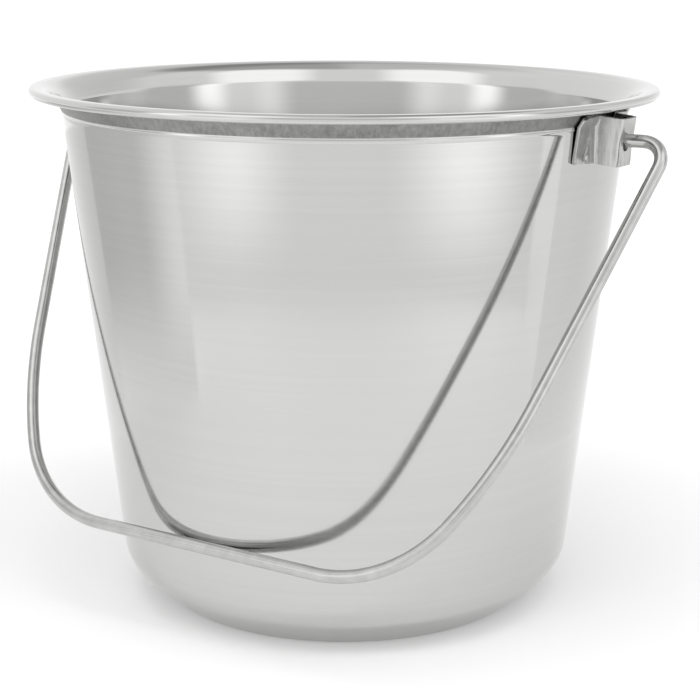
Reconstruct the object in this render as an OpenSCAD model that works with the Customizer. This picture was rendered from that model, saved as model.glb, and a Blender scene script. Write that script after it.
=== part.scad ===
// Stainless steel milk pail of about 12 litres (13 US quarts).
// One deep-drawn shell with a flared and curled rim, two hat-section ears spot-welded
// under the rim, and one bare wire bail whose headed ends turn in the ears.
//
// Frame: the origin is the centre of the base, on the surface that the pail stands on.
// +X runs along the bail's pivot axis, towards the right ear. +Z is up.
// The bail is drawn at rest: it hangs to the -Y side and its grip lies against the wall.

/* [Shell] */
// Overall height of the pail, standing surface to the top of the rim
pail_height = 254; // [250:0.5:258]
// Diameter at which the straight wall line would meet the standing surface
base_dia = 220.8; // [217:0.2:224]
// Outside diameter of the straight wall at the neck, just under the flared lip
neck_dia = 274.4; // [272:0.2:278]
// Outside radius of the bend between the wall and the chamfer round the base
corner_r = 20; // [16:1:26]
// Rise of the chamfer above the standing surface, in degrees
chamfer_a = 40; // [38:1:44]
// Diameter at which the chamfer would meet the standing surface
foot_dia = 183.4; // [180:0.2:187]
// Outside radius of the small bend between the chamfer and the flat base
foot_r = 3; // [2:0.5:5]
// Sheet thickness of the shell
wall_t = 1.0; // [0.8:0.1:1.2]
// Height of the flared lip, neck to the top of the rim
lip_h = 11.2; // [10:0.2:12]
// Width of the flat crest between the flare and the curl
lip_flat = 1.8; // [1.4:0.1:2.4]
// Outside diameter of the curled edge
curl_dia = 4.1; // [3.8:0.1:4.6]

/* [Ears] */
// Drop of the bail's pivot axis below the top of the rim
pivot_drop = 18; // [17:0.5:20]
// Height of an ear along the wall
ear_h = 21.6; // [21:0.2:21.8]
// Length of the ear below the pivot axis, along the wall
ear_below = 10; // [9.8:0.1:11]
// Overall width of an ear, wing tip to wing tip
ear_w = 44; // [42:0.5:46]
// Outside width of the ear's box
box_w = 16.6; // [15.8:0.2:17.4]
// Distance from the wall to the outer face of the box
box_depth = 14.5; // [13.5:0.5:15.5]
// Sheet thickness of the ears
ear_t = 1.5; // [1.2:0.1:1.6]
// Inside radius of the bend between a wing and the box
ear_bend_r = 1.5; // [1:0.1:2]
// Outside radius of the box's two outer corners
box_corner_r = 3.5; // [3:0.1:4]
// Radius of the wings' free corners
wing_corner_r = 1.5; // [1:0.5:3]
// Diameter of the pivot hole in the outer face
pivot_hole_d = 6.8; // [6.6:0.1:7]
// Distance of the spot welds from the middle of the ear, along the rim
weld_y = 14.6; // [14:0.2:15.2]
// Diameter of a spot weld
weld_d = 3; // [2.5:0.1:3.4]
// Depth of the electrode mark over a spot weld
weld_dimple = 0.4; // [0.2:0.1:0.6]

/* [Bail] */
// Wire diameter
wire_d = 6; // [5.8:0.1:6.2]
// Length of the straight grip
grip_len = 125; // [110:1:130]
// Distance from the pivot axis to the middle of the grip wire
bail_drop = 220.5; // [214:0.5:224]
// Bend radius beside the grip, on the wire's centre line
corner_r1 = 66; // [60:1:70]
// Turn of the bend beside the grip, in degrees
corner_turn = 60; // [56:0.5:62]
// Radius of the long easy bend that runs into the leg
corner_r2 = 212; // [200:1:220]
// Lean of the straight legs from square to the pivot axis, in degrees
leg_lean = 12.6; // [12:0.1:13.2]
// Bend radius beside the ear, on the wire's centre line
pivot_bend_r = 10; // [9:0.5:11]
// Diameter of the forged head on each end of the wire
head_d = 8.4; // [8:0.1:8.6]
// Thickness of the forged head
head_t = 2.5; // [2:0.1:3]
// Gap between the resting grip and the wall
rest_gap = 0.3; // [0.2:0.1:1]

/* [Hidden] */
$fn = 96;

// shell, in the plane of its revolved section
neck_r = neck_dia / 2;
base_r = base_dia / 2;
neck_z = pail_height - lip_h;
wall_a = atan((neck_r - base_r) / neck_z);
foot_x = foot_dia / 2 - foot_r * (1 - cos(chamfer_a)) / sin(chamfer_a);
chamfer_n = dir(chamfer_a - 90);
wall_side = base_r * cos(wall_a) - corner_r;
foot_side = foot_dia / 2 * sin(chamfer_a) - corner_r;
corner_c = [wall_side * cos(chamfer_a) - foot_side * sin(wall_a),
            wall_side * sin(chamfer_a) - foot_side * cos(wall_a)] / cos(wall_a + chamfer_a);
flare_r = (lip_h - wall_t) / (1 - sin(wall_a));
flare_x = neck_r + flare_r * cos(wall_a);
flare_z = neck_z - flare_r * sin(wall_a);
curl_r = curl_dia / 2;
curl_x = flare_x + lip_flat;
curl_z = pail_height - curl_r;
curl_end = 215;
function wall_r(z) = base_r + z * tan(wall_a);
function dir(a) = [cos(a), sin(a)];

// ears
pivot_z = pail_height - pivot_drop;
ear_x = wall_r(pivot_z);
hug_r = ear_x / cos(wall_a);
half_box = box_w / 2;
bend_y = half_box + ear_bend_r;
bend_sag = hug_r - sqrt(hug_r * hug_r - bend_y * bend_y);
bend_x = ear_t + ear_bend_r - bend_sag;
face_x = ear_x + box_depth;
weld_a = asin(weld_y / hug_r);
weld_heights = [-0.3, -6.8];

// bail, as a path in its own plane: +x along the pivot axis, +y towards the pivot
wire_r = wire_d / 2;
lap = 0.3;
lap_a = lap / corner_r2 * 180 / PI;
leg_h = 90 - leg_lean;
p1 = [grip_len / 2, -bail_drop];
c1 = p1 + [0, corner_r1];
p2 = c1 + corner_r1 * [sin(corner_turn), -cos(corner_turn)];
c2 = p2 + corner_r2 * [-sin(corner_turn), cos(corner_turn)];
p3 = c2 + corner_r2 * [sin(leg_h), -cos(leg_h)];
leg_len = (-pivot_bend_r * (1 + cos(leg_h)) - p3[1]) / sin(leg_h);
p4 = p3 + leg_len * dir(leg_h);
c3 = p4 + pivot_bend_r * [-sin(leg_h), cos(leg_h)];
p5 = c3 + [0, pivot_bend_r];
head_x = face_x - ear_t - head_t - 0.6;
rest_a = asin((wire_r + rest_gap + ear_x * cos(wall_a)) / bail_drop) - wall_a;

// ---- pail shell ----

// Section of the body, filled to the axis and set in from the outer surface by t
module body_section(t) {
    union() {
        polygon([
            [0, t], [foot_x, t],
            [foot_x, foot_r] + (foot_r - t) * chamfer_n,
            corner_c + (corner_r - t) * chamfer_n,
            corner_c + (corner_r - t) * dir(-wall_a),
            [neck_r - t * cos(wall_a), neck_z + t * sin(wall_a)],
            [0, neck_z + t * sin(wall_a)],
        ]);
        translate(corner_c) circle(r = corner_r - t);
        translate([foot_x, foot_r]) circle(r = foot_r - t);
    }
}

// Section of the flare, an arc that leaves the wall and turns level at the crest
module flare_section() {
    translate([flare_x, flare_z])
        intersection() {
            difference() {
                circle(r = flare_r + wall_t);
                circle(r = flare_r);
            }
            polygon([[0, 0], 30 * dir(180 - wall_a), 40 * dir(135), [0, 30]]);
        }
}

// Section of the crest and of the open curl, which rolls outwards and under
module curl_section() {
    translate([flare_x, pail_height - wall_t]) square([lip_flat, wall_t]);
    translate([curl_x, curl_z])
        difference() {
            circle(r = curl_r);
            circle(r = curl_r - wall_t);
            polygon([[0, 0], [0, 9], [-9, 9], 9 * dir(curl_end)]);
        }
}

module pail_shell() {
    color([0.80, 0.80, 0.79])
        rotate_extrude()
            union() {
                difference() {
                    union() {
                        body_section(0);
                        polygon([
                            [0, neck_z], [neck_r, neck_z],
                            [neck_r - wall_t * cos(wall_a), neck_z + wall_t * sin(wall_a)],
                            [0, neck_z + wall_t * sin(wall_a)],
                        ]);
                    }
                    union() {
                        body_section(wall_t);
                        translate([0, neck_z])
                            square([neck_r - wall_t * cos(wall_a) - 0.05, 9]);
                    }
                }
                flare_section();
                curl_section();
            }
}

// Everything inside the shell's outer surface near the rim, which shapes the back of an ear
module pail_envelope() {
    low_z = pivot_z - 40;
    rotate_extrude($fn = 720)
        difference() {
            polygon([
                [0, low_z], [wall_r(low_z), low_z], [neck_r, neck_z],
                [flare_x, neck_z], [flare_x, pail_height], [0, pail_height],
            ]);
            translate([flare_x, flare_z]) circle(r = flare_r);
        }
}

// ---- ears ----

// Moves a child from the ear's own frame to the right side of the wall.
// In that frame x is square to the wall, y runs along the rim and z up the wall.
module on_wall() {
    translate([ear_x, 0, pivot_z]) rotate([0, wall_a, 0]) children();
}

// One half of the hat section, on the +y side
module half_hat() {
    // outer face
    translate([box_depth - ear_t, -0.01]) square([ear_t, half_box - box_corner_r + 0.01]);
    // outer corner
    translate([box_depth - box_corner_r, half_box - box_corner_r])
        intersection() {
            difference() {
                circle(r = box_corner_r);
                circle(r = box_corner_r - ear_t);
            }
            square(box_corner_r + 1);
        }
    // side wall
    translate([bend_x, half_box - ear_t])
        square([box_depth - box_corner_r - bend_x, ear_t]);
    // bend between the side wall and the wing
    translate([bend_x, bend_y])
        intersection() {
            difference() {
                circle(r = ear_bend_r + ear_t);
                circle(r = ear_bend_r);
            }
            translate([-9, -9]) square(9);
        }
    // wing, curved round the wall
    intersection() {
        translate([-hug_r, 0])
            difference() {
                circle(r = hug_r + ear_t, $fn = 360);
                circle(r = hug_r - 0.4, $fn = 360);
            }
        translate([-9, bend_y]) square([18, ear_w / 2 - bend_y]);
    }
}

// Front view of the ear's outline
module ear_outline() {
    low = -ear_below;
    high = ear_h - ear_below;
    half = ear_w / 2;
    r = wing_corner_r;
    translate([-half, low + r]) square([ear_w, ear_h - 2 * r]);
    translate([r - half, low]) square([ear_w - 2 * r, ear_h]);
    for (y = [r - half, half - r], z = [low + r, high - r])
        translate([y, z]) circle(r = r);
}

// Places a child at each spot weld, with x pointing out of the wing
module at_welds() {
    for (s = [-1, 1], z = weld_heights)
        translate([-hug_r, 0, z]) rotate([0, 0, s * weld_a]) translate([hug_r, 0, 0])
            rotate([0, 90, 0]) children();
}

module ear_solid() {
    difference() {
        on_wall()
            difference() {
                intersection() {
                    translate([0, 0, -ear_below])
                        linear_extrude(height = ear_h)
                            union() {
                                half_hat();
                                mirror([0, 1]) half_hat();
                            }
                    rotate([90, 0, 90]) translate([0, 0, -9])
                        linear_extrude(height = 40) ear_outline();
                }
                at_welds() translate([0, 0, -2]) cylinder(d = weld_d, h = 9);
            }
        pail_envelope();
        // pivot hole, level and in line with the one in the other ear
        translate([face_x - 6, 0, pivot_z]) rotate([0, 90, 0]) cylinder(d = pivot_hole_d, h = 12);
    }
}

// Spot-weld nuggets: each fills its hole in the wing, from the wall to the electrode mark
module weld_solids() {
    difference() {
        on_wall()
            at_welds() translate([0, 0, -1]) cylinder(d = weld_d, h = 1 + ear_t - weld_dimple);
        pail_envelope();
    }
}

module right_ear() {
    color([0.74, 0.74, 0.73]) ear_solid();
}

module left_ear() {
    color([0.74, 0.74, 0.73]) mirror([1, 0, 0]) ear_solid();
}

module right_ear_welds() {
    color([0.62, 0.62, 0.61]) weld_solids();
}

module left_ear_welds() {
    color([0.62, 0.62, 0.61]) mirror([1, 0, 0]) weld_solids();
}

// ---- bail ----

// Arc of wire in the XY plane: centre c, radius r, from heading a0 through turn
module wire_arc(c, r, a0, turn, slim = 0) {
    translate([c[0], c[1], 0]) rotate([0, 0, a0 - 90])
        rotate_extrude(angle = turn) translate([r, 0]) circle(r = wire_r - slim);
}

// Straight wire in the XY plane from point p, along heading a
module wire_run(p, a, len, slim) {
    translate([p[0], p[1], 0]) rotate([0, 0, a]) rotate([0, 90, 0])
        cylinder(r = wire_r - slim, h = len);
}

// Each stretch that runs into a bend is slimmer than it by a hundredth or two and enters it
module half_bail() {
    wire_arc(c1, corner_r1, 0, corner_turn);
    wire_arc(c2, corner_r2, corner_turn - lap_a, leg_h - corner_turn + lap_a, 0.02);
    wire_run(p3 - lap * dir(leg_h), leg_h, leg_len + 2 * lap, 0.04);
    wire_arc(c3, pivot_bend_r, leg_h, 180 - leg_h);
    wire_run(p5 + [lap, 0], 180, p5[0] + lap - head_x - 0.5, 0.02);
    // forged head inside the ear
    translate([head_x, 0, 0]) rotate([0, 90, 0]) cylinder(d = head_d, h = head_t);
}

module bail() {
    color([0.72, 0.72, 0.71])
        translate([0, 0, pivot_z]) rotate([90 - rest_a, 0, 0])
            union() {
                wire_run([-p1[0] - lap, p1[1]], 0, grip_len + 2 * lap, 0.02);
                half_bail();
                mirror([1, 0, 0]) half_bail();
            }
}

pail_shell();
right_ear();
left_ear();
right_ear_welds();
left_ear_welds();
bail();
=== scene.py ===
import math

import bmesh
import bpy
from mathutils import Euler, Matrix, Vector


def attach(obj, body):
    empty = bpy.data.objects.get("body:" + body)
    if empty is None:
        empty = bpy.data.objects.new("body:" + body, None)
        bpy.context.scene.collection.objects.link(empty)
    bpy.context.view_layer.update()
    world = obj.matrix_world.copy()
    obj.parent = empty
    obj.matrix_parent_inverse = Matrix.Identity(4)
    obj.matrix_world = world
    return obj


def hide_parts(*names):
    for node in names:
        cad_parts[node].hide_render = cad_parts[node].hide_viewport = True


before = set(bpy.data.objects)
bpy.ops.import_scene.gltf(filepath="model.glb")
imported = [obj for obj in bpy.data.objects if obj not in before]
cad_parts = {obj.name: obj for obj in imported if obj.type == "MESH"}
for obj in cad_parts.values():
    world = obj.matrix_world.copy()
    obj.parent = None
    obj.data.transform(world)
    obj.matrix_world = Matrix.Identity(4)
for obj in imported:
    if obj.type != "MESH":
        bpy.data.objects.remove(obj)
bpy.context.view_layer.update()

# A stainless steel milk pail: the shell, two ears, their spot welds and the bail, each built
# as a mesh from the sizes of part.scad, and the plain studio that lights them.
# Shapes are worked out in millimetres, and make_object turns them into metres. The camera,
# the floor, the lights and the materials are in metres.

MM = 0.001


def rad(a):
    return math.radians(a)


# ---------------------------------------------------------------- sizes in mm and degrees, as in part.scad
HEIGHT = 254.0
BASE_R = 110.4
NECK_R = 137.2
CORNER_R = 20.0
CHAMFER = 40.0
FOOT_X = 91.7
FOOT_R = 3.0
WALL_T = 1.0
LIP_H = 11.2
LIP_FLAT = 1.8
CURL_R = 2.05
CURL_END = -145.0

PIVOT_DROP = 18.0
EAR_H = 21.6
EAR_BELOW = 10.0
EAR_HALF_W = 22.0
WING_CORNER_R = 1.5
HALF_BOX = 8.3
BOX_DEPTH = 14.5
EAR_T = 1.5
EAR_BEND_R = 1.5
BOX_CORNER_R = 3.5
HOLE_R = 3.4
WELD_Y = 14.6
WELD_R = 1.5
WELD_HEIGHTS = (-0.3, -6.8)

WIRE_R = 3.0
GRIP_LEN = 125.0
BAIL_DROP = 220.5
CORNER_R1 = 66.0
CORNER_TURN = 60.0
CORNER_R2 = 212.0
LEG_LEAN = 12.6
PIVOT_BEND_R = 10.0
HEAD_R = 4.2
HEAD_T = 2.5
REST_GAP = 0.3

# worked out from the sizes above
NECK_Z = HEIGHT - LIP_H
WALL_A = math.atan((NECK_R - BASE_R) / NECK_Z)
CHAMFER_A = math.radians(CHAMFER)
FOOT_BEND_X = FOOT_X - FOOT_R * (1 - math.cos(CHAMFER_A)) / math.sin(CHAMFER_A)
WALL_SIDE = BASE_R * math.cos(WALL_A) - CORNER_R
FOOT_SIDE = FOOT_X * math.sin(CHAMFER_A) - CORNER_R
TURN = math.cos(WALL_A + CHAMFER_A)
CORNER_X = (WALL_SIDE * math.cos(CHAMFER_A) - FOOT_SIDE * math.sin(WALL_A)) / TURN
CORNER_Z = (WALL_SIDE * math.sin(CHAMFER_A) - FOOT_SIDE * math.cos(WALL_A)) / TURN
FLARE_R = (LIP_H - WALL_T) / (1 - math.sin(WALL_A))
FLARE_X = NECK_R + FLARE_R * math.cos(WALL_A)
CURL_X = FLARE_X + LIP_FLAT
CURL_Z = HEIGHT - CURL_R
PIVOT_Z = HEIGHT - PIVOT_DROP
EAR_X = BASE_R + PIVOT_Z * math.tan(WALL_A)
FACE_X = EAR_X + BOX_DEPTH
REST_A = math.asin((WIRE_R + REST_GAP + EAR_X * math.cos(WALL_A)) / BAIL_DROP) - WALL_A


# ---------------------------------------------------------------- camera
CAMERA_AT = (0.4712, -0.7145, 0.3273)
CAMERA_DOWN = 13.72
CAMERA_TURN = 32.14
CAMERA_ROLL = 0.28
LENS = 89.34
SHIFT = (-0.0471, 0.0039)

cam = bpy.data.objects.new("camera", bpy.data.cameras.new("camera"))
bpy.context.collection.objects.link(cam)
cam.data.sensor_width = 36.0
cam.data.lens = LENS
cam.data.shift_x, cam.data.shift_y = SHIFT
cam.data.clip_start, cam.data.clip_end = 0.01, 100
aim = Euler((rad(90 - CAMERA_DOWN), 0, rad(CAMERA_TURN))).to_matrix()
aim = aim @ Matrix.Rotation(rad(CAMERA_ROLL), 3, "Z")
cam.rotation_euler = aim.to_euler()
cam.location = CAMERA_AT
bpy.context.scene.camera = cam
bpy.context.scene.view_settings.view_transform = "Standard"


# ---------------------------------------------------------------- node helpers
def new_material(name):
    m = bpy.data.materials.new(name)
    m.use_nodes = True
    t = m.node_tree
    return m, t, t.nodes["Principled BSDF"]


def add(tree, kind, inputs=None, **props):
    n = tree.nodes.new(kind)
    for k, v in props.items():
        setattr(n, k, v)
    for k, v in (inputs or {}).items():
        if isinstance(v, bpy.types.NodeSocket):
            tree.links.new(v, n.inputs[k])
        else:
            n.inputs[k].default_value = v
    return n


def math_node(tree, op, a, b=0.0):
    return add(tree, "ShaderNodeMath", {0: a, 1: b}, operation=op).outputs[0]


def scaled(tree, value, by):
    return math_node(tree, "MULTIPLY", value, by)


def add_up(tree, *parts):
    total = parts[0]
    for part in parts[1:]:
        total = math_node(tree, "ADD", total, part)
    return total


def remap(tree, value, lo, hi, out_lo, out_hi, easing="LINEAR"):
    n = add(tree, "ShaderNodeMapRange",
            {"Value": value, "From Min": lo, "From Max": hi, "To Min": out_lo, "To Max": out_hi},
            interpolation_type=easing)
    return n.outputs["Result"]


def ease(tree, value, lo, hi, out_lo, out_hi):
    """Like remap, but it starts and ends gently."""
    return remap(tree, value, lo, hi, out_lo, out_hi, "SMOOTHSTEP")


def noise(tree, vector, scale, detail=2.0, rough=0.5):
    n = add(tree, "ShaderNodeTexNoise",
            {"Vector": vector, "Scale": scale, "Detail": detail, "Roughness": rough})
    return n.outputs["Fac"]


def bump(tree, height, strength, distance, normal=None):
    ins = {"Height": height, "Strength": strength, "Distance": distance}
    if normal is not None:
        ins["Normal"] = normal
    return add(tree, "ShaderNodeBump", ins).outputs["Normal"]


def grey(tree, value, lo, hi, dark, light):
    """A colour that runs from dark to light as value goes from lo to hi."""
    t = remap(tree, value, lo, hi, 0.0, 1.0)
    n = add(tree, "ShaderNodeMix", {0: t, 6: (*dark, 1), 7: (*light, 1)}, data_type="RGBA")
    return n.outputs[2]


# ---------------------------------------------------------------- materials
def section_coordinate(t, xyz, along, across):
    """A vector that is slow round the pail and fast along its section, or the reverse."""
    x, y, z = add(t, "ShaderNodeSeparateXYZ", {0: xyz}).outputs
    r = math_node(t, "SQRT", add_up(t, scaled(t, x, x), scaled(t, y, y)))
    q = add_up(t, r, z)
    return add(t, "ShaderNodeCombineXYZ", {0: scaled(t, x, along), 1: scaled(t, y, along),
                                           2: scaled(t, q, across)}).outputs[0]


def round_tangent(t, bsdf, amount):
    """Brushing that runs round the pail spreads the gloss up and down."""
    bsdf.inputs["Anisotropic"].default_value = amount
    bsdf.inputs["Anisotropic Rotation"].default_value = 0.25
    tangent = add(t, "ShaderNodeTangent", direction_type="RADIAL", axis="Z")
    t.links.new(tangent.outputs[0], bsdf.inputs["Tangent"])


def shell_material():
    """Satin sheet, brushed round the body, with faint bands and slow waves in the wall."""
    m, t, bsdf = new_material("brushed_shell_steel")
    xyz = add(t, "ShaderNodeTexCoord").outputs["Object"]
    lines = noise(t, section_coordinate(t, xyz, 10.0, 3200.0), 1.0, 3.0, 0.6)
    bands = noise(t, section_coordinate(t, xyz, 3.0, 420.0), 1.0, 3.0, 0.5)
    cloud = noise(t, xyz, 9.0, 2.0, 0.5)
    bsdf.inputs["Metallic"].default_value = 1.0
    tone = add_up(t, scaled(t, lines, 0.5), scaled(t, bands, 0.5))
    t.links.new(grey(t, tone, 0.35, 0.65, (0.560, 0.560, 0.555), (0.585, 0.585, 0.578)),
                bsdf.inputs["Base Color"])
    t.links.new(remap(t, add_up(t, tone, cloud), 0.75, 1.25, 0.08, 0.11),
                bsdf.inputs["Roughness"])
    round_tangent(t, bsdf, 0.5)
    brushed = bump(t, tone, 0.06, 0.00002)
    t.links.new(bump(t, cloud, 0.2, 0.0005, brushed), bsdf.inputs["Normal"])
    return m


def painted_shade_flare_material():
    """The underside of the flare: the dull, streaked finish of the forming roll, on a base colour far
    darker than the body's steel, which is painted shade under the lip.
    """
    m, t, bsdf = new_material("rolled_flare_steel_painted_shade")
    xyz = add(t, "ShaderNodeTexCoord").outputs["Object"]
    marks = noise(t, section_coordinate(t, xyz, 520.0, 60.0), 1.0, 3.0, 0.65)
    patches = noise(t, section_coordinate(t, xyz, 60.0, 90.0), 1.0, 3.0, 0.6)
    fine = noise(t, xyz, 1500.0, 2.0, 0.6)
    bsdf.inputs["Metallic"].default_value = 1.0
    tone = add_up(t, scaled(t, marks, 0.45), scaled(t, patches, 0.35), scaled(t, fine, 0.2))
    # painted shade: this dark grey stands in for the shade and dark reflections under the flare; the
    # streaks across it are the roll's marks
    t.links.new(grey(t, tone, 0.38, 0.62, (0.18, 0.18, 0.176), (0.32, 0.32, 0.313)),
                bsdf.inputs["Base Color"])
    t.links.new(remap(t, tone, 0.38, 0.62, 0.30, 0.42), bsdf.inputs["Roughness"])
    t.links.new(bump(t, tone, 0.3, 0.00006), bsdf.inputs["Normal"])
    return m


def ear_material():
    """Pressed sheet with a grain that runs up the wall and cloudy gloss."""
    m, t, bsdf = new_material("pressed_ear_steel")
    xyz = add(t, "ShaderNodeTexCoord").outputs["Object"]
    long_grain = add(t, "ShaderNodeMapping", {"Vector": xyz, "Scale": (900.0, 900.0, 90.0)})
    grain = noise(t, long_grain.outputs[0], 1.0, 3.0, 0.6)
    cloud = noise(t, xyz, 110.0, 3.0, 0.55)
    bsdf.inputs["Metallic"].default_value = 1.0
    t.links.new(grey(t, add_up(t, grain, cloud), 0.75, 1.25,
                     (0.40, 0.40, 0.395), (0.54, 0.54, 0.53)), bsdf.inputs["Base Color"])
    t.links.new(remap(t, cloud, 0.35, 0.65, 0.18, 0.28), bsdf.inputs["Roughness"])
    grained = bump(t, grain, 0.15, 0.00002)
    t.links.new(bump(t, cloud, 0.25, 0.0002, grained), bsdf.inputs["Normal"])
    return m


def weld_material():
    """The dull, spotted mark that an electrode leaves."""
    m, t, bsdf = new_material("weld_mark_steel")
    xyz = add(t, "ShaderNodeTexCoord").outputs["Object"]
    spots = noise(t, xyz, 1400.0, 3.0, 0.6)
    bsdf.inputs["Metallic"].default_value = 1.0
    t.links.new(grey(t, spots, 0.35, 0.65, (0.10, 0.10, 0.098), (0.22, 0.215, 0.21)),
                bsdf.inputs["Base Color"])
    t.links.new(remap(t, spots, 0.3, 0.7, 0.35, 0.5), bsdf.inputs["Roughness"])
    t.links.new(bump(t, spots, 0.5, 0.00008), bsdf.inputs["Normal"])
    return m


def bail_material():
    """Bright wire with drawing lines along it and light scuffs."""
    m, t, bsdf = new_material("drawn_wire_steel")
    uv = add(t, "ShaderNodeTexCoord").outputs["UV"]
    xyz = add(t, "ShaderNodeTexCoord").outputs["Object"]
    drawn = add(t, "ShaderNodeMapping", {"Vector": uv, "Scale": (1.0, 60.0, 1.0)})
    lines = noise(t, drawn.outputs[0], 6.0, 3.0, 0.6)
    scuffs = noise(t, xyz, 160.0, 4.0, 0.6)
    bsdf.inputs["Metallic"].default_value = 1.0
    t.links.new(grey(t, add_up(t, lines, scuffs), 0.75, 1.25,
                     (0.45, 0.45, 0.445), (0.55, 0.55, 0.543)), bsdf.inputs["Base Color"])
    t.links.new(remap(t, scuffs, 0.35, 0.65, 0.10, 0.20), bsdf.inputs["Roughness"])
    lined = bump(t, lines, 0.2, 0.00003)
    t.links.new(bump(t, scuffs, 0.3, 0.0001, lined), bsdf.inputs["Normal"])
    return m


# ---------------------------------------------------------------- mesh helpers
def make_object(name, verts, faces, material, uvs=None):
    """An object from verts in mm, with smooth faces."""
    me = bpy.data.meshes.new(name)
    me.from_pydata([(v[0] * MM, v[1] * MM, v[2] * MM) for v in verts], [], faces)
    me.update()
    for p in me.polygons:
        p.use_smooth = True
    if uvs:
        layer = me.uv_layers.new(name="UVMap")
        for loop in me.loops:
            layer.data[loop.index].uv = uvs[loop.vertex_index]
    me.materials.append(material)
    ob = bpy.data.objects.new(name, me)
    bpy.context.collection.objects.link(ob)
    return ob


def arc_points(cx, cz, r, a0, a1, n):
    """n steps from angle a0 to a1 in degrees, with the first left out."""
    out = []
    for i in range(1, n + 1):
        a = rad(a0 + (a1 - a0) * i / n)
        out.append((cx + r * math.cos(a), cz + r * math.sin(a)))
    return out


def line_points(p, q, n):
    """n even steps from p to q, with p left out."""
    return [(p[0] + (q[0] - p[0]) * i / n, p[1] + (q[1] - p[1]) * i / n) for i in range(1, n + 1)]


def revolve(section, steps):
    """Verts and faces of a section in (r, z), whose two ends lie on the axis."""
    verts, faces = [(0, 0, section[0][1])], []
    rings = section[1:-1]
    for r, z in rings:
        for k in range(steps):
            a = 2 * math.pi * k / steps
            verts.append((r * math.cos(a), r * math.sin(a), z))
    last = len(verts)
    verts.append((0, 0, section[-1][1]))
    for k in range(steps):
        k2 = (k + 1) % steps
        faces.append((0, 1 + k, 1 + k2))
        for i in range(len(rings) - 1):
            a, b = 1 + i * steps, 1 + (i + 1) * steps
            faces.append((a + k, b + k, b + k2, a + k2))
        a = 1 + (len(rings) - 1) * steps
        faces.append((a + k, last, a + k2))
    return verts, faces


# ---------------------------------------------------------------- shell
RIDGE_UP = 1.2      # height of the draw ridge's crest below the neck
RIDGE_H = 0.28      # how far it stands proud of the outer surface
RIDGE_W = 0.7       # about half its width
RIDGE_END = 1.5     # how far above the neck its last trace is kept
FLARE_FOOT = 0.6    # how far below the neck the flare starts to bend
NECK_BEND_R = 3.5   # bend at the foot of the flare, on the outer surface
FLARE_RISE = 60.0   # steepness of the flare above that bend, in degrees
FINE_WALL = 0.965   # part of the wall's length above which its rings are close together
SHELL_STEPS = 264   # steps round the shell


def ridge(z):
    d = (z - (NECK_Z - RIDGE_UP)) / RIDGE_W
    return RIDGE_H * math.exp(-d * d)


def flare_points():
    """Middle of the sheet from the neck to the crest: a tight bend, a straight
    stretch and a wide bend that turns level at the crest."""
    h = WALL_T / 2
    a0, a1 = math.pi / 2 - WALL_A, rad(FLARE_RISE)
    foot_r = NECK_R - FLARE_FOOT * math.tan(WALL_A)
    foot_z = NECK_Z - FLARE_FOOT
    up = LIP_H + FLARE_FOOT - WALL_T - NECK_BEND_R * (math.cos(a1) - math.cos(a0))
    out = FLARE_X - foot_r - NECK_BEND_R * (math.sin(a0) - math.sin(a1))
    # straight length and wide radius that reach the crest
    c, s = math.cos(a1), math.sin(a1)
    wide = (out - up * c / s) / (s - (1 - c) * c / s)
    straight = (up - wide * (1 - c)) / s
    deg0 = math.degrees(a0)
    cx = foot_r + NECK_BEND_R * math.sin(a0)
    cz = foot_z - NECK_BEND_R * math.cos(a0)
    pts = arc_points(cx, cz, NECK_BEND_R + h, deg0 + 90, FLARE_RISE + 90, 10)
    end = (pts[-1][0] + straight * c, pts[-1][1] + straight * s)
    pts += line_points(pts[-1], end, 8)
    return pts + arc_points(FLARE_X, HEIGHT - WALL_T - wide, wide + h, FLARE_RISE + 90, 90, 18)


def shell_section():
    """The sheet's inner side, its round end and its outer side, each as points (r, z). They
    lie half a sheet off a middle line from the axis along the base to the curl's end."""
    h = WALL_T / 2
    a = math.degrees(WALL_A)
    mid = [(0.0, h)]
    mid += line_points((0.0, h), (FOOT_BEND_X, h), 26)
    mid += arc_points(FOOT_BEND_X, FOOT_R, FOOT_R - h, -90, CHAMFER - 90, 8)
    bend_start = (CORNER_X + (CORNER_R - h) * math.sin(CHAMFER_A),
                  CORNER_Z - (CORNER_R - h) * math.cos(CHAMFER_A))
    mid += line_points(mid[-1], bend_start, 6)
    mid += arc_points(CORNER_X, CORNER_Z, CORNER_R - h, CHAMFER - 90, -a, 22)
    wall_top = (NECK_R - FLARE_FOOT * math.tan(WALL_A) - h * math.cos(WALL_A),
                NECK_Z - FLARE_FOOT + h * math.sin(WALL_A))
    start = mid[-1]
    fine = (start[0] + (wall_top[0] - start[0]) * FINE_WALL,
            start[1] + (wall_top[1] - start[1]) * FINE_WALL)
    mid += line_points(start, fine, 30)
    mid += line_points(fine, wall_top, 18)
    mid += flare_points()
    mid += line_points((FLARE_X, HEIGHT - h), (CURL_X, HEIGHT - h), 3)
    mid += arc_points(CURL_X, CURL_Z, CURL_R - h, 90, CURL_END, 34)
    inner, outer = [], []
    for i, p in enumerate(mid):
        q0, q1 = mid[max(i - 1, 0)], mid[min(i + 1, len(mid) - 1)]
        dx, dz = q1[0] - q0[0], q1[1] - q0[1]
        n = math.hypot(dx, dz)
        nx, nz = -dz / n, dx / n
        inner.append((p[0] + nx * h, p[1] + nz * h))
        r, z = p[0] - nx * h, p[1] - nz * h
        outer.append((r + (ridge(z) if fine[1] < z < NECK_Z + RIDGE_END else 0.0), z))
    # round end of the sheet
    end, before = mid[-1], mid[-2]
    a0 = math.degrees(math.atan2(inner[-1][1] - end[1], inner[-1][0] - end[0]))
    cap = arc_points(end[0], end[1], h, a0, a0 - 180, 8)[:-1]
    inner[0] = (0.0, WALL_T)
    outer[0] = (0.0, 0.0)
    return inner, cap, outer


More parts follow.
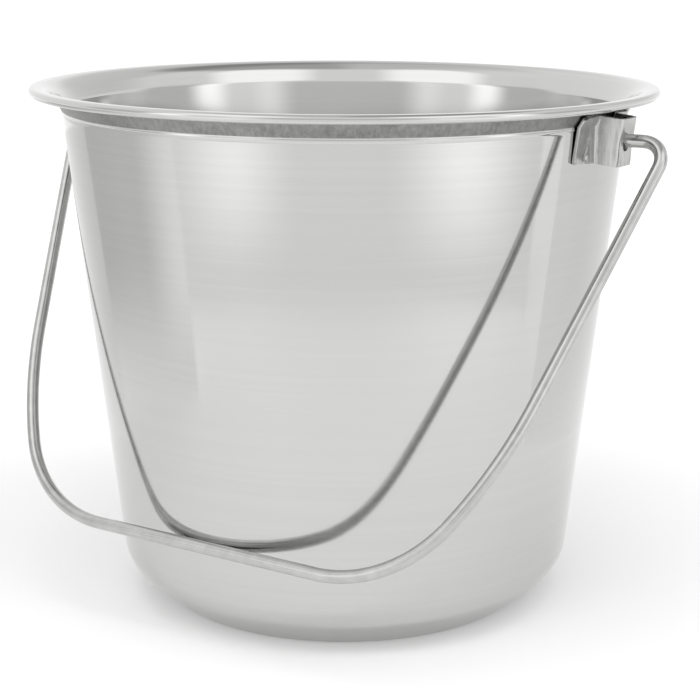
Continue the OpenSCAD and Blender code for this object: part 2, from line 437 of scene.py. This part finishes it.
def give_flare_painted_shade(me, section, first_outer):
    """Gives the underside of the flare, from the neck to the crest, the second material, whose dark base
    colour is painted shade.
    """
    rings = section[1:-1]
    per_step = len(rings) + 1
    low, wide = NECK_Z + 0.1, FLARE_X + 0.5
    for i in range(first_outer, len(rings) - 1):
        r = (rings[i][0] + rings[i + 1][0]) / 2
        z = (rings[i][1] + rings[i + 1][1]) / 2
        if z > low and r < wide:
            for k in range(SHELL_STEPS):
                me.polygons[k * per_step + 1 + i].material_index = 1


shell_inner, shell_cap, shell_outer = shell_section()
whole_section = shell_inner + shell_cap + shell_outer[::-1]
shell = make_object("shell", *revolve(whole_section, SHELL_STEPS), shell_material())
# the second slot holds the flare's material with its painted shade
shell.data.materials.append(painted_shade_flare_material())
give_flare_painted_shade(shell.data, whole_section, len(shell_inner) + len(shell_cap) - 1)


# ---------------------------------------------------------------- ears
WING_LIFT = 1.2     # how far a wing's edge stands off the wall at the top
FOOT_LIFT = 1.9     # how far the foot of the bend stands off the wall at the bottom
FOOT_REACH = 4.6    # how far along the wing that lift dies out
PUSH_REACH = 1.5    # how far on each side of the bend's start the flare's push eases in
DISH = 0.8          # how deep the face is dished round the pivot hole
DISH_R = 3.4        # how far that dish spreads
WELD_DENT = 0.2     # how deep the weld marks are
DENT_EDGE = 0.3     # how soft their edge is
NEAR_WALL = 3.5     # the wings lie nearer than this to the wall, and the face doesn't

# the ear's own frame has its origin on the wall at the pivot's height; x leads away from the
# wall, y to the side and z up the wall. S_ values are lengths along the sheet from the middle
# of the face to the end of the face, of the corner, of the side and of the bend
HALF_T = EAR_T / 2
HUG_R = EAR_X / math.cos(WALL_A)
BEND_Y = HALF_BOX + EAR_BEND_R
BEND_X = EAR_T + EAR_BEND_R - (HUG_R - math.sqrt(HUG_R ** 2 - BEND_Y ** 2))
S_FACE = HALF_BOX - BOX_CORNER_R
S_CORNER = S_FACE + (BOX_CORNER_R - HALF_T) * math.pi / 2
S_SIDE = S_CORNER + BOX_DEPTH - BOX_CORNER_R - BEND_X
S_BEND = S_SIDE + (EAR_BEND_R + HALF_T) * math.pi / 2


def cone_radius(z):
    """Outer radius at height z of the straight wall, carried on past the neck."""
    return BASE_R + z * math.tan(WALL_A)


def wall_radius(z):
    """Outer radius of the shell at height z, flare included."""
    if z <= NECK_Z:
        return cone_radius(z)
    for (r0, z0), (r1, z1) in zip(shell_outer, shell_outer[1:]):
        if z0 >= NECK_Z - 0.2 and z0 <= z <= z1:
            return r0 + (r1 - r0) * (z - z0) / (z1 - z0)
    return NECK_R


def foot_lift(t):
    """How far the foot of the bend stands off the wall at height t, least at the top."""
    return FOOT_LIFT * (1 - (t + EAR_BELOW) / EAR_H)


def wing_lift(wing, t):
    """How far a wing stands off the wall at height t. wing is 0 at the bend, 1 at the edge."""
    return WING_LIFT * wing ** 2 * (0.25 + 0.75 * (t + EAR_BELOW) / EAR_H)


def wing_tip(t):
    """Half width of the ear at height t, with its two rounded corners."""
    d = max(WING_CORNER_R - (t + EAR_BELOW), WING_CORNER_R - (EAR_H - EAR_BELOW - t), 0.0)
    return EAR_HALF_W - WING_CORNER_R + math.sqrt(max(WING_CORNER_R ** 2 - d * d, 0.0))


def ear_point(s, t, wing=None):
    """Middle of the ear's sheet. s runs from the middle of the face, t up the wall.
    On a wing, wing is 0 at the bend and 1 at the edge."""
    side = 1 if s >= 0 else -1
    d = abs(s)
    z = PIVOT_Z + t * math.cos(WALL_A)
    if wing is None and d <= S_FACE:
        x, y = BOX_DEPTH - HALF_T, d
    elif wing is None and d <= S_CORNER:
        b = (d - S_FACE) / (BOX_CORNER_R - HALF_T)
        x = BOX_DEPTH - BOX_CORNER_R + (BOX_CORNER_R - HALF_T) * math.cos(b)
        y = HALF_BOX - BOX_CORNER_R + (BOX_CORNER_R - HALF_T) * math.sin(b)
    elif wing is None and d <= S_SIDE:
        f = 1 - foot_lift(t) / (S_SIDE - S_CORNER)
        x, y = BOX_DEPTH - BOX_CORNER_R - (d - S_CORNER) * f, HALF_BOX - HALF_T
    elif wing is None:
        b = (d - S_SIDE) / (EAR_BEND_R + HALF_T)
        x = BEND_X + foot_lift(t) - (EAR_BEND_R + HALF_T) * math.sin(b)
        y = BEND_Y - (EAR_BEND_R + HALF_T) * math.cos(b)
    else:
        y = BEND_Y + wing * (wing_tip(t) - BEND_Y)
        reach = math.sqrt((wall_radius(z) + HALF_T + wing_lift(wing, t)) ** 2 - y ** 2)
        x = (reach - EAR_X - t * math.sin(WALL_A)) / math.cos(WALL_A)
        near = max(0.0, 1 - (y - BEND_Y) / FOOT_REACH)
        x += foot_lift(t) * near * near * (3 - 2 * near)
    if wing is None and d > S_SIDE - PUSH_REACH:
        # the flare pushes the top of the bend out with the wing
        push = wall_radius(z) - cone_radius(z)
        x += push * min(1.0, (d - S_SIDE + PUSH_REACH) / (2 * PUSH_REACH))
    rho = math.hypot(s, t)
    if wing is None and rho < HOLE_R + 3 * DISH_R and d < S_CORNER + 1:
        x -= DISH * math.exp(-((max(rho - HOLE_R, 0.0)) / DISH_R) ** 2)
    return Vector((x, side * y, t))


def spaced(a, b, n):
    """n + 1 even values from a to b, both ends included."""
    return [a + (b - a) * i / n for i in range(n + 1)]


def ear_grid():
    """The sheet as a grid of places for ear_point, with a round hole in a square patch of
    the face: the places, the faces between them and one corner's number."""
    patch = 6.0         # half the side of the patch
    patch_steps = 30
    end_rows = 14       # rows below the patch, and as many above it
    side_cols = 26      # columns from the patch to the end of the bend
    wing_cols = 34
    rings = 9           # rings of faces between the patch's border and the hole
    low, high = -EAR_BELOW, EAR_H - EAR_BELOW
    rows = spaced(low, -patch, end_rows)[:-1] + spaced(-patch, patch, patch_steps)
    rows += spaced(patch, high, end_rows)[1:]
    cols = [("sheet", s) for s in spaced(-patch, patch, patch_steps)]
    right = [("sheet", s) for s in spaced(patch, S_BEND, side_cols)[1:]]
    right += [("wing", w) for w in spaced(0, 1, wing_cols)[1:]]
    left = [(kind, -v) for kind, v in right][::-1]
    cols = left + cols + right
    numbers = {}
    places = []

    def vert(key, place):
        if key not in numbers:
            numbers[key] = len(places)
            places.append(place)
        return numbers[key]

    def grid_vert(i, j):
        kind, v = cols[i]
        t = rows[j]
        if kind == "sheet":
            return vert(("grid", i, j), (v, t, None))
        return vert(("grid", i, j), (math.copysign(S_BEND, v), t, abs(v)))

    faces = []
    i0, j0 = len(left), end_rows
    i1, j1 = i0 + patch_steps, j0 + patch_steps
    for i in range(len(cols) - 1):
        for j in range(len(rows) - 1):
            if i0 <= i < i1 and j0 <= j < j1:
                continue
            faces.append((grid_vert(i, j), grid_vert(i + 1, j),
                          grid_vert(i + 1, j + 1), grid_vert(i, j + 1)))
    # rings of faces from the square patch's border to the round hole
    border = [(i, j0) for i in range(i0, i1)] + [(i1, j) for j in range(j0, j1)]
    border += [(i, j1) for i in range(i1, i0, -1)] + [(i0, j) for j in range(j1, j0, -1)]
    count = len(border)

    def ring_vert(k, m):
        k %= count
        i, j = border[k]
        if m == 0:
            return grid_vert(i, j)
        s, t = cols[i][1], rows[j]
        a = math.atan2(t, s)
        f = 1 - (1 - m / rings) ** 1.3
        hole = (HOLE_R * math.cos(a), HOLE_R * math.sin(a))
        return vert(("ring", k, m), (s + (hole[0] - s) * f, t + (hole[1] - t) * f, None))

    for k in range(count):
        for m in range(rings):
            faces.append((ring_vert(k, m), ring_vert(k + 1, m),
                          ring_vert(k + 1, m + 1), ring_vert(k, m + 1)))
    return places, faces, grid_vert(0, 0)


def weld_dent(p):
    """How much thinner the sheet is at p, under a weld's electrode mark."""
    if p.x >= NEAR_WALL:
        return 0.0
    dent = 0.0
    for h in WELD_HEIGHTS:
        d = math.hypot(abs(p.y) - WELD_Y, p.z - h)
        dent = max(dent, WELD_DENT * 1.1 / (1 + math.exp((d - WELD_R) / DENT_EDGE)))
    return dent


def ear_mesh():
    """The hat section as one bent sheet, in the ear's own frame, in mm."""
    places, faces, corner = ear_grid()
    mids = [ear_point(*place) for place in places]
    # normals from the surface itself, turned so that the wings' lead away from the wall
    normals = [Vector((0, 0, 0)) for _ in mids]
    for f in faces:
        n = (mids[f[1]] - mids[f[0]]).cross(mids[f[3]] - mids[f[0]])
        n += (mids[f[3]] - mids[f[2]]).cross(mids[f[1]] - mids[f[2]])
        for i in f:
            normals[i] += n
    for n in normals:
        n.normalize()
    if normals[corner].x < 0:
        normals = [-n for n in normals]
        faces = [f[::-1] for f in faces]
    outer = [p + n * (HALF_T - weld_dent(p)) for p, n in zip(mids, normals)]
    inner = [p - n * HALF_T for p, n in zip(mids, normals)]
    total = len(outer)
    all_faces = list(faces) + [tuple(i + total for i in f[::-1]) for f in faces]
    # the sheet's edges and the hole's wall, along each edge that has a face on one side only
    edges = {}
    for f in faces:
        for a, b in zip(f, f[1:] + f[:1]):
            edges[(a, b)] = True
    for a, b in edges:
        if (b, a) not in edges:
            all_faces.append((b, a, a + total, b + total))
    return outer + inner, all_faces


def on_wall(p, side):
    """From the ear's own frame to the row frame, on the right side (1) or the left (-1)."""
    ca, sa = math.cos(WALL_A), math.sin(WALL_A)
    return (side * (EAR_X + p[0] * ca + p[2] * sa), p[1], PIVOT_Z - p[0] * sa + p[2] * ca)


def add_bevel(ob, width):
    """Rounds the sheet's sharp edges, by a width in mm."""
    b = ob.modifiers.new("edge", "BEVEL")
    b.width = width * MM
    b.segments = 3
    b.limit_method = "ANGLE"
    b.angle_limit = rad(40)
    b.use_clamp_overlap = True


def both_sides(suffix, mesh, material):
    """The right and the left object of a mesh in the ear's own frame, by name."""
    verts, faces = mesh
    made = {}
    for name, side in (("right", 1), ("left", -1)):
        placed = [on_wall(p, side) for p in verts]
        turned = faces if side == 1 else [f[::-1] for f in faces]
        made[name] = make_object(name + suffix, placed, turned, material)
    return made


ears = both_sides("_ear_sheet", ear_mesh(), ear_material())
for ob in ears.values():
    add_bevel(ob, 0.28)


# ---------------------------------------------------------------- spot welds
WELD_CUP = 0.05     # how far the middle of a mark lies below its edge
WELD_PROUD = 0.02   # how far a mark's edge stands above the dented sheet
WELD_STEPS = 32


def weld_mesh():
    """Four nuggets, in the ear's own frame, in mm."""
    verts, faces = [], []
    up = Vector((0, 0, 1))
    wing = (WELD_Y - BEND_Y) / (EAR_HALF_W - BEND_Y)
    for s in (-1, 1):
        for h in WELD_HEIGHTS:
            a = math.asin(s * WELD_Y / HUG_R)
            out = Vector((math.cos(a), math.sin(a), 0))
            along = Vector((-math.sin(a), math.cos(a), 0))
            foot = out * HUG_R - Vector((HUG_R, 0, 0)) + up * h
            top = EAR_T - WELD_DENT + wing_lift(wing, h) + WELD_PROUD
            # (radius, height) from the middle of the mark over its edge to the wall
            shape = [(WELD_R * k / 8, top - WELD_CUP * (1 - (k / 8) ** 2)) for k in range(8)]
            shape += [(WELD_R * 0.97, top - 0.01), (WELD_R, top - 0.06), (WELD_R, 0.0), (0.0, 0.0)]
            turned, shape_faces = revolve(shape, WELD_STEPS)
            first = len(verts)
            verts += [foot + out * z + along * x + up * y for x, y, z in turned]
            faces += [tuple(first + i for i in f) for f in shape_faces]
    return verts, faces


welds = both_sides("_ear_spot_welds", weld_mesh(), weld_material())


# ---------------------------------------------------------------- bail
HEAD_GAP = 0.6      # from the face's inner side to the back of the head
WIRE_SIDES = 32


def bail_half():
    """Centre line of the right half, from mid grip to the back of the head, in the bail's own
    plane: (x, y, heading in degrees), with x along the pivot axis and y towards it."""
    out = [(GRIP_LEN / 2 * i / 16, -BAIL_DROP, 0.0) for i in range(17)]

    def turn(r, h1, n):
        """Turns left with radius r, until the heading is h1."""
        x, y, h0 = out[-1]
        cx, cy = x - r * math.sin(rad(h0)), y + r * math.cos(rad(h0))
        for i in range(1, n + 1):
            h = h0 + (h1 - h0) * i / n
            out.append((cx + r * math.sin(rad(h)), cy - r * math.cos(rad(h)), h))

    def run(length, n):
        """Goes straight on."""
        x, y, h = out[-1]
        for i in range(1, n + 1):
            d = length * i / n
            out.append((x + d * math.cos(rad(h)), y + d * math.sin(rad(h)), h))

    leg = 90 - LEG_LEAN
    turn(CORNER_R1, CORNER_TURN, 30)
    turn(CORNER_R2, leg, 18)
    run((-PIVOT_BEND_R * (1 + math.cos(rad(leg))) - out[-1][1]) / math.sin(rad(leg)), 20)
    turn(PIVOT_BEND_R, 180, 26)
    run(out[-1][0] - (FACE_X - EAR_T - HEAD_GAP), 8)
    return out


def bail_mesh():
    """The whole wire as one skin from head to head, at rest, in mm. u is the length along the
    wire in metres, v goes once round it."""
    half = bail_half()
    end_x, end_y, end_heading = half[-1]
    # (distance from the back of the head, radius), over the head to its flat end
    head = [(0.0, WIRE_R), (0.12, WIRE_R + 0.25), (0.3, HEAD_R - 0.35), (0.55, HEAD_R - 0.08),
            (0.85, HEAD_R), (HEAD_T - 0.7, HEAD_R), (HEAD_T - 0.35, HEAD_R - 0.12),
            (HEAD_T - 0.1, HEAD_R - 0.45), (HEAD_T, HEAD_R - 0.95), (HEAD_T, HEAD_R - 2.4)]
    right = [(x, y, h, WIRE_R) for x, y, h in half[:-1]]
    right += [(end_x - d, end_y, end_heading, r) for d, r in head]
    # the left half is walked backwards, so its headings only change sign
    stations = [(-x, y, -h, r) for x, y, h, r in right[:0:-1]] + right
    verts, uvs, faces = [], [], []
    length = 0.0
    for n, (x, y, h, r) in enumerate(stations):
        if n:
            length += math.hypot(x - stations[n - 1][0], y - stations[n - 1][1])
        nx, ny = -math.sin(rad(h)), math.cos(rad(h))
        for k in range(WIRE_SIDES):
            b = 2 * math.pi * k / WIRE_SIDES
            verts.append((x + r * nx * math.cos(b), y + r * ny * math.cos(b), r * math.sin(b)))
            uvs.append((length * MM, k / WIRE_SIDES))
    last = (len(stations) - 1) * WIRE_SIDES
    for k in range(WIRE_SIDES):
        k2 = (k + 1) % WIRE_SIDES
        for a in range(0, last, WIRE_SIDES):
            b = a + WIRE_SIDES
            faces.append((a + k, a + k2, b + k2, b + k))
        # the flat ends, each from its middle
        faces.append((last + WIRE_SIDES, k2, k))
        faces.append((last + WIRE_SIDES + 1, last + k, last + k2))
    for (x, y, _, _), u in ((stations[0], 0.0), (stations[-1], length * MM)):
        verts.append((x, y, 0.0))
        uvs.append((u, 0.5))
    c, s = math.cos(math.pi / 2 - REST_A), math.sin(math.pi / 2 - REST_A)
    placed = [(x, y * c - w * s, PIVOT_Z + y * s + w * c) for x, y, w in verts]
    return placed, faces, uvs


verts, faces, uvs = bail_mesh()
bail = make_object("bail_wire", verts, faces, bail_material(), uvs)

# every face looks outwards
for ob in (shell, bail, *ears.values(), *welds.values()):
    bm = bmesh.new()
    bm.from_mesh(ob.data)
    bmesh.ops.recalc_face_normals(bm, faces=bm.faces)
    bm.to_mesh(ob.data)
    bm.free()

# ---------------------------------------------------------------- joints and nodes
for ob in (shell, *ears.values(), *welds.values()):
    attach(ob, "pail")
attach(bail, "bail")
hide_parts("pail_shell")
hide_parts("bail")
for name in ("right", "left"):
    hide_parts(name + "_ear")
    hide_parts(name + "_ear_welds")


# ---------------------------------------------------------------- floor
def floor_material():
    """A pale matt floor that glows a little more with distance, so that it fades to white."""
    m, t, bsdf = new_material("studio_floor")
    xyz = add(t, "ShaderNodeTexCoord").outputs["Object"]
    soft = noise(t, xyz, 3.0, 2.0, 0.5)
    t.links.new(grey(t, soft, 0.3, 0.7, (0.82, 0.82, 0.82), (0.84, 0.84, 0.84)),
                bsdf.inputs["Base Color"])
    bsdf.inputs["Emission Color"].default_value = (1, 1, 1, 1)
    away = add(t, "ShaderNodeVectorMath", {0: xyz}, operation="LENGTH").outputs["Value"]
    t.links.new(remap(t, away, 0.25, 1.6, 0.15, 0.32), bsdf.inputs["Emission Strength"])
    bsdf.inputs["Roughness"].default_value = 0.9
    bsdf.inputs["Specular IOR Level"].default_value = 0.1
    return m


def make_floor():
    """A round floor of 14 m radius."""
    me = bpy.data.meshes.new("floor")
    r, n = 14.0, 96
    me.from_pydata([(r * math.cos(2 * math.pi * k / n), r * math.sin(2 * math.pi * k / n), 0)
                    for k in range(n)], [], [tuple(range(n))])
    me.materials.append(floor_material())
    ob = bpy.data.objects.new("floor", me)
    bpy.context.collection.objects.link(ob)


make_floor()


# ---------------------------------------------------------------- light
def around(azimuth, distance, height):
    """A place at this azimuth from the camera's side, positive to the camera's right."""
    a = rad(CAMERA_TURN + azimuth - 90)
    return Vector((distance * math.cos(a), distance * math.sin(a), height))


def softbox(name, place, target, width, height, power):
    """A soft lamp that faces the target and isn't seen in reflections."""
    data = bpy.data.lights.new(name, "AREA")
    data.shape = "RECTANGLE"
    data.size, data.size_y = width, height
    data.energy = power
    ob = bpy.data.objects.new(name, data)
    bpy.context.collection.objects.link(ob)
    ob.location = place
    ob.rotation_euler = (place - target).to_track_quat("Z", "Y").to_euler()
    ob.visible_camera = False
    ob.visible_glossy = False


PAIL_MIDDLE = Vector((0, 0, 0.14))
softbox("top_box", around(0, 0.5, 1.5), PAIL_MIDDLE, width=1.2, height=0.9, power=6.5)

CARD_HIGH = 0.2     # height of a card
CARD_STEPS = 24
CARD_FOOT = 1.02    # level at a card's foot, close to the floor's own


def card_material(name, levels):
    """A glowing card. levels runs from one side to the other: (place 0 to 1, level).
    Over the lower half they ease to the level of the foot."""
    m = bpy.data.materials.new(name)
    m.use_nodes = True
    t = m.node_tree
    t.nodes.remove(t.nodes["Principled BSDF"])
    u, v, _ = add(t, "ShaderNodeSeparateXYZ", {0: add(t, "ShaderNodeTexCoord").outputs["UV"]}).outputs
    steps = [ease(t, u, u0, u1, 0.0, l1 - l0) for (u0, l0), (u1, l1) in zip(levels, levels[1:])]
    level = add_up(t, levels[0][1] - CARD_FOOT, *steps)
    level = add_up(t, scaled(t, ease(t, v, 0.0, 0.5, 0.0, 1.0), level), CARD_FOOT)
    glow = add(t, "ShaderNodeEmission", {"Strength": level})
    t.links.new(glow.outputs[0], t.nodes["Material Output"].inputs["Surface"])
    return m


def card(name, a0, a1, distance, levels):
    """A curved card that stands round the pail between two azimuths, out of the camera's sight."""
    verts, uvs, faces = [], [], []
    for i in range(CARD_STEPS + 1):
        at = around(a0 + (a1 - a0) * i / CARD_STEPS, distance, 0)
        for v in (0, 1):
            verts.append((at.x, at.y, v * CARD_HIGH))
            uvs.append((i / CARD_STEPS, v))
    for i in range(CARD_STEPS):
        faces.append((2 * i, 2 * i + 2, 2 * i + 3, 2 * i + 1))
    me = bpy.data.meshes.new(name)
    me.from_pydata(verts, [], faces)
    layer = me.uv_layers.new(name="UVMap")
    for loop in me.loops:
        layer.data[loop.index].uv = uvs[loop.vertex_index]
    me.materials.append(card_material(name, levels))
    ob = bpy.data.objects.new(name, me)
    bpy.context.collection.objects.link(ob)
    ob.visible_camera = False
    return ob


card("left_grey_card", -110, -58, 0.38, [(0.0, 0.68), (0.6, 0.76), (1.0, 1.14)])
card("front_white_card", -66, 76, 0.52,
     [(0.0, 1.05), (0.2, 1.42), (0.37, 1.06), (0.56, 1.05), (0.77, 1.47), (1.0, 1.0)])
back_cards = [card("left_back_card", -160, -102.5, 0.3, [(0.0, 1.0), (0.5, 0.97), (1.0, 0.84)]),
              card("right_back_card", 78, 160, 0.3, [(0.0, 1.0), (0.3, 0.93), (1.0, 0.98)])]
for ob in back_cards:
    # these show in reflections only, and leave the floor's light alone
    ob.visible_diffuse = False
    ob.visible_shadow = False


def studio_world():
    """A white room whose level depends on the direction. Low down it changes with the azimuth
    from the camera's side. It is darker overhead, except on the left, and a little darker high
    at the back right. Two bright patches stand high in front, one on each side."""
    w = bpy.data.worlds.new("studio")
    bpy.context.scene.world = w
    w.use_nodes = True
    t = w.node_tree
    way = add(t, "ShaderNodeTexCoord").outputs["Generated"]
    x, y, up = add(t, "ShaderNodeSeparateXYZ", {0: way}).outputs
    turn = rad(CAMERA_TURN)
    fx, fy = math.sin(turn), -math.cos(turn)
    front = add_up(t, scaled(t, x, fx), scaled(t, y, fy))
    side = add_up(t, scaled(t, x, -fy), scaled(t, y, fx))
    azimuth = math_node(t, "ABSOLUTE", math_node(t, "ARCTAN2", side, front))

    def past(lo, hi, amount):
        """Eases in between two azimuths."""
        return ease(t, azimuth, rad(lo), rad(hi), 0.0, amount)

    def towards(sideways, forward, upward, lo, hi, amount, value=side):
        """Eases in around one direction: lo and hi are cosines of the angle from it."""
        along = add_up(t, scaled(t, front, forward), scaled(t, up, upward),
                       scaled(t, value, sideways))
        return ease(t, along, lo, hi, 0.0, amount)

    # low down, from the front round to the sides
    low = add_up(t, past(22, 36, 0.45), past(36, 46, -0.15), past(52, 63, 0.6),
                 past(65, 77, -0.95), past(94, 108, 0.3), -0.27)
    low = scaled(t, low, ease(t, azimuth, rad(116), rad(126), 1.0, 0.0))
    low = scaled(t, low, ease(t, up, 0.35, 0.7, 1.0, 0.0))
    # the dark patch overhead, which fades out to the left
    overhead = towards(0.0, -0.17, 0.985, 0.80, 0.90, -0.48)
    fade = add_up(t, ease(t, side, -0.6, -0.2, 0.0, 0.55), ease(t, side, -0.05, 0.05, 0.0, 0.45))
    overhead = scaled(t, overhead, fade)
    behind = towards(0.35, -0.68, 0.64, 0.80, 0.93, -0.2)
    either_side = math_node(t, "ABSOLUTE", side)
    patches = towards(0.48, 0.40, 0.78, 0.93, 0.985, 0.5, either_side)
    level = add_up(t, low, overhead, behind, patches, 1.05)
    t.links.new(level, t.nodes["Background"].inputs["Strength"])
    t.nodes["Background"].inputs["Color"].default_value = (1, 1, 1, 1)


studio_world()
